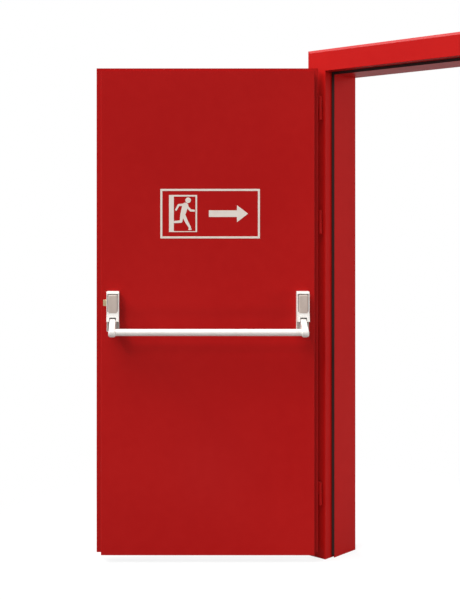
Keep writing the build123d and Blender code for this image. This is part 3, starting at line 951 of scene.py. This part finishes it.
def cover_panel(side):
    """The seat, a dark grey of painted shade in the recess, and the panel whose sloped edge rises out of it.
    """
    low, high = leaf_box(f"{side}_cover")
    across = (low[0] + high[0]) / 2
    wide = high[0] - low[0] - 2 * MARGIN
    top, foot = high[2] - TOP_BEVEL - TOP_MARGIN, low[2] + SLOPE + MARGIN
    recess_floor = COVER_FRONT - RECESS
    seat_steps = ((0, recess_floor - SEAT_THICK), (0, recess_floor + SEAT_THICK))
    seat = stepped((across, (top + foot) / 2), oblong(wide, top - foot), RECESS_CORNER, seat_steps)

    panel_middle = (across, (top + foot - BELOW - GAP_ABOVE) / 2)
    panel_size = oblong(wide - 2 * GAP_BESIDE, top - foot - GAP_ABOVE + BELOW)
    panel_steps = [(inset, recess_floor + rise) for inset, rise in PANEL_EDGE]
    return seat, stepped(panel_middle, panel_size, PANEL_CORNER, panel_steps)


for side in SIDES:
    seat, panel = cover_panel(side)
    # each seat is a dark grey plate of painted shade on the floor of its groove
    piece(f"{side}_panel_shade_seat", seat, "leaf", painted_groove_shade)
    piece(f"{side}_cover_panel", panel, "leaf", panel_grey)

# %% [markdown]
# ## Welds
#
# The hinges are welded on before painting. A hand-laid bead is a row of small puddles that overlap. It
# could be a row of balls, but those would cut into each other, so it is one run whose radius swells and
# shrinks along its length.

# %% A weld bead
BEAD, PUDDLE = 0.0017, 0.0032               # radius, and length of one puddle
SWELL = 0.14                                # share of the radius that comes and goes
TIP = 0.02                                  # keeps the radius at both ends from shrinking to nothing


def bead(low, high, steps=90, around=12):
    """Rings round an upright run: the radius swells once in each puddle's length and closes at both ends.

    The swell is the sine of half a turn in each puddle, without its sign. An end closes as the root of
    the height left over the radius.
    """
    low, high = np.array(low, float), np.array(high, float)
    share = np.linspace(0, 1, steps)[:, None]
    height = share * np.linalg.norm(high - low)
    ends = np.sqrt(np.clip(np.minimum(height, height[::-1]) / BEAD, TIP, 1))
    radius = BEAD * ends * (1 - SWELL + SWELL * np.abs(np.sin(pi * height / PUDDLE)))
    turn = np.linspace(0, 2 * pi, around, endpoint=False)
    circle = np.stack((np.cos(turn), np.sin(turn), 0 * turn), axis=1)
    return skin((low + share * (high - low))[:, None] + radius[..., None] * circle)


print("a bead is", round(2 * BEAD * 1000, 1), "mm thick")

# %% [markdown]
# The beads lie in the corners where each hinge's tab meets the frame's face or the lip of the leaf. Those
# corners aren't in any table, so they are found on the tabs: the points furthest from the pin are a tab's
# foot.

# %% Beads beside the hinges' tabs
TOUCH = 0.0001                              # points this near the furthest one are on the foot too

for hinge in HINGES:
    on_frame = mesh_points(nodes[f"{hinge}_frame_barrel"].data)
    foot = on_frame[on_frame[:, 1] > on_frame[:, 1].max() - TOUCH]
    low, high = foot.min(0), foot.max(0)
    beads = [bead((x, foot[0, 1], low[2]), (x, foot[0, 1], high[2])) for x in (low[0], high[0])]
    piece(f"{hinge}_frame_weld", joined(beads), "frame", leaf_red)

    on_leaf = to_leaf(mesh_points(nodes[f"{hinge}_leaf_barrel"].data))
    foot = on_leaf[on_leaf[:, 0] > on_leaf[:, 0].max() - TOUCH]
    low, high = foot.min(0), foot.max(0)
    runs = [from_leaf(((low[0], out, low[2]), (low[0], out, high[2]))) for out in (low[1], high[1])]
    beads = [bead(*run) for run in runs]
    piece(f"{hinge}_leaf_weld", joined(beads), "leaf", leaf_red)

# %% [markdown]
# ## Screws
#
# Two button head screws hold the strike on its jamb. A button head is low and domed, and a hexagonal socket
# is sunk in it. A Boolean modifier could cut the socket, but it would leave thin, crooked faces round it. So
# all of it is one stack of rings: round ones up the dome, then six-sided ones down into the socket.

# %% A button head screw
SCREW_RADIUS, SCREW_RISE = 0.0042, 0.0022
SOCKET_RADIUS, SOCKET_DEEP = 0.0019, 0.0014
DOME = 62                                   # degrees of its quarter ellipse that the dome follows


def button_screw(middle, outward, across, steps=36, dome_steps=7):
    """Rings from the seat up over a quarter ellipse, then over the rim and down into a six-sided socket.

    A hexagon's radius at an angle is that of its corners times the cosine of 30 degrees, over the cosine of
    what separates the angle from the middle of its flat.
    """
    third = np.cross(outward, across)
    turn = np.linspace(0, 2 * pi, steps, endpoint=False)
    around = np.cos(turn)[:, None] * across + np.sin(turn)[:, None] * third
    six = SOCKET_RADIUS * cos(pi / 6) / np.cos((turn + pi / 6) % (pi / 3) - pi / 6)
    climb = np.linspace(0, radians(DOME), dome_steps)
    rings = [(SCREW_RADIUS * cos(angle), SCREW_RISE * sin(angle)) for angle in climb]
    rim = rings[-1][1]
    rings += [(six, rim), (six, rim - SOCKET_DEEP)]
    return skin(np.stack([middle + rise * outward + (radius * around.T).T for radius, rise in rings]))


print("a screw's head is", round(2 * SCREW_RADIUS * 1000, 1), "mm wide")

# %% Screws in the strike
STRIKE_WALL, STRIKE_PLATE = 0.008, 0.003    # the strike's two thicknesses
SCREW_SPREAD = 0.029                        # from the strike's middle, up and down

strike_low, strike_high = np.array(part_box("latch_strike"))
strike_middle = (strike_low + strike_high) / 2
plate = np.array((strike_high[0] - STRIKE_PLATE, strike_middle[1] + STRIKE_WALL / 2, strike_middle[2]))
into_doorway = np.array((-1.0, 0.0, 0.0))
screws = [button_screw(plate + way * SCREW_SPREAD * UP, into_doorway, UP) for way in (-1, 1)]
piece("latch_strike_screws", joined(screws), "frame", plated_steel)

# %% [markdown]
# ## The view transform
#
# The plain view transform is used, because the others would turn the white of the page grey.

# %% The view transform
bpy.context.scene.view_settings.view_transform = "Standard"
